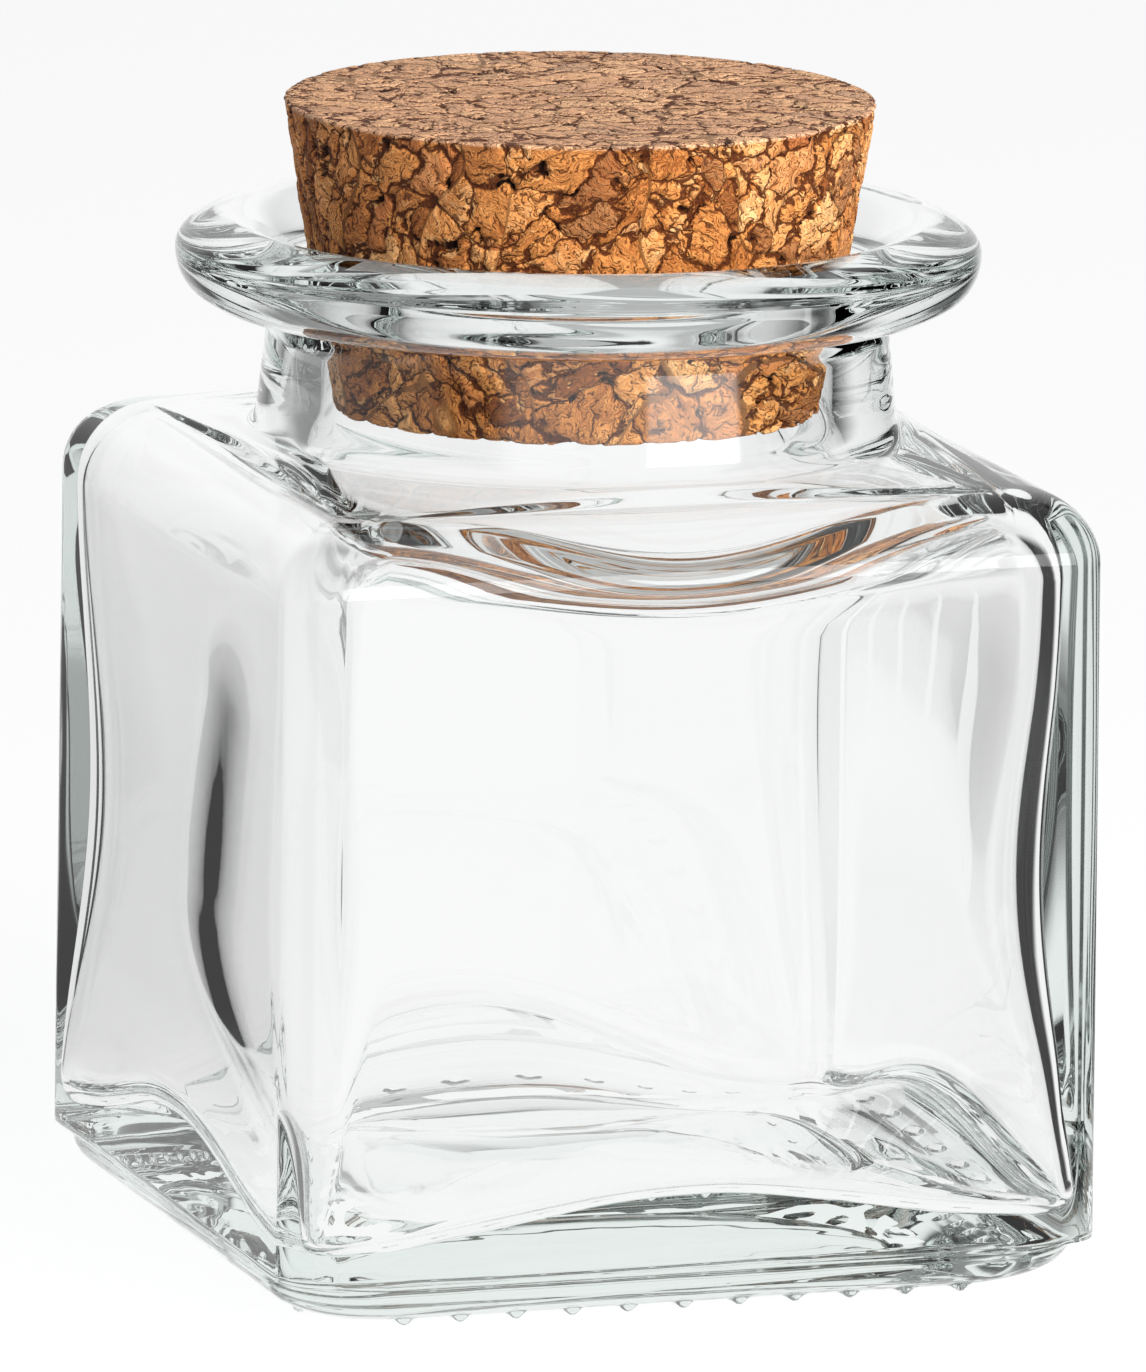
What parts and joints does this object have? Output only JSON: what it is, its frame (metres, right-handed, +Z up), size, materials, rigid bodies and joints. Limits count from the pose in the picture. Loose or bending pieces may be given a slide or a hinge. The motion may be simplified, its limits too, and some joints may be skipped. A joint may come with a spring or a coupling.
{
  "type": "glass jar with cork stopper",
  "caption": "Square clear-glass jar with a round neck, a flared rim and a tapered cork stopper that lifts out.",
  "frame": {"origin": "middle of the foot, on the surface that the jar stands on", "axes": "+Z up along the axis of the neck and the stopper; -Y out of the front face; +X to the right of the front face"},
  "size_m": [0.06, 0.06, 0.0815],
  "materials": {
    "glass": "clear blown glass with a faint green tint, glossy",
    "cork": "pressed cork granules, matte"
  },
  "bodies": {
    "jar": {"glass_jar": "glass"},
    "stopper": {"cork_stopper": "cork"}
  },
  "joints": [
    {"name": "stopper_lift", "type": "slide", "parent": "jar", "child": "stopper", "axis": [0, 0, 1], "range_m": [0, 0.06]}
  ]
}
